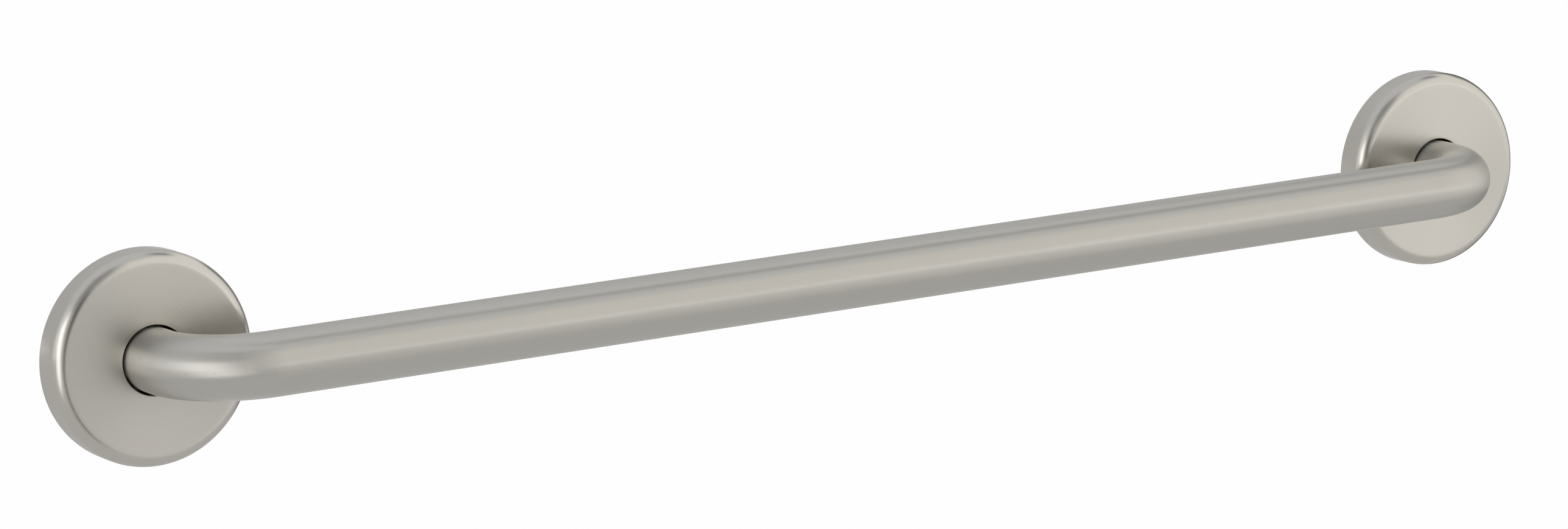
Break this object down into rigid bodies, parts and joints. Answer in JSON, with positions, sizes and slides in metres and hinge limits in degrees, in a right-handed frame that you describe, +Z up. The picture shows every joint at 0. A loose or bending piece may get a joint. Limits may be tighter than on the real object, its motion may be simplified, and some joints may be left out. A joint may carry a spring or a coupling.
{
  "type": "towel bar",
  "caption": "Wall-mounted towel bar: a satin steel tube bent back to the wall at each end, with a round drawn cover snapped over each welded mounting plate.",
  "frame": {"origin": "on the wall plane, midway between the centres of the two mounting plates", "axes": "+X along the bar, to the right as seen from the front; +Y into the wall; +Z up"},
  "size_m": [0.6936, 0.0635, 0.084],
  "materials": {
    "bar_steel": "fine satin, with faint brush lines that run round the tube",
    "cover_steel": "fine satin, turned, with faint lines that run round the face and the skirt",
    "plate_steel": "mill finish, with a weld bead round the tube"
  },
  "bodies": {
    "root": {"bar_tube": "bar_steel", "left_mount_plate": "plate_steel", "right_mount_plate": "plate_steel", "left_cover": "cover_steel", "right_cover": "cover_steel"}
  },
  "joints": []
}
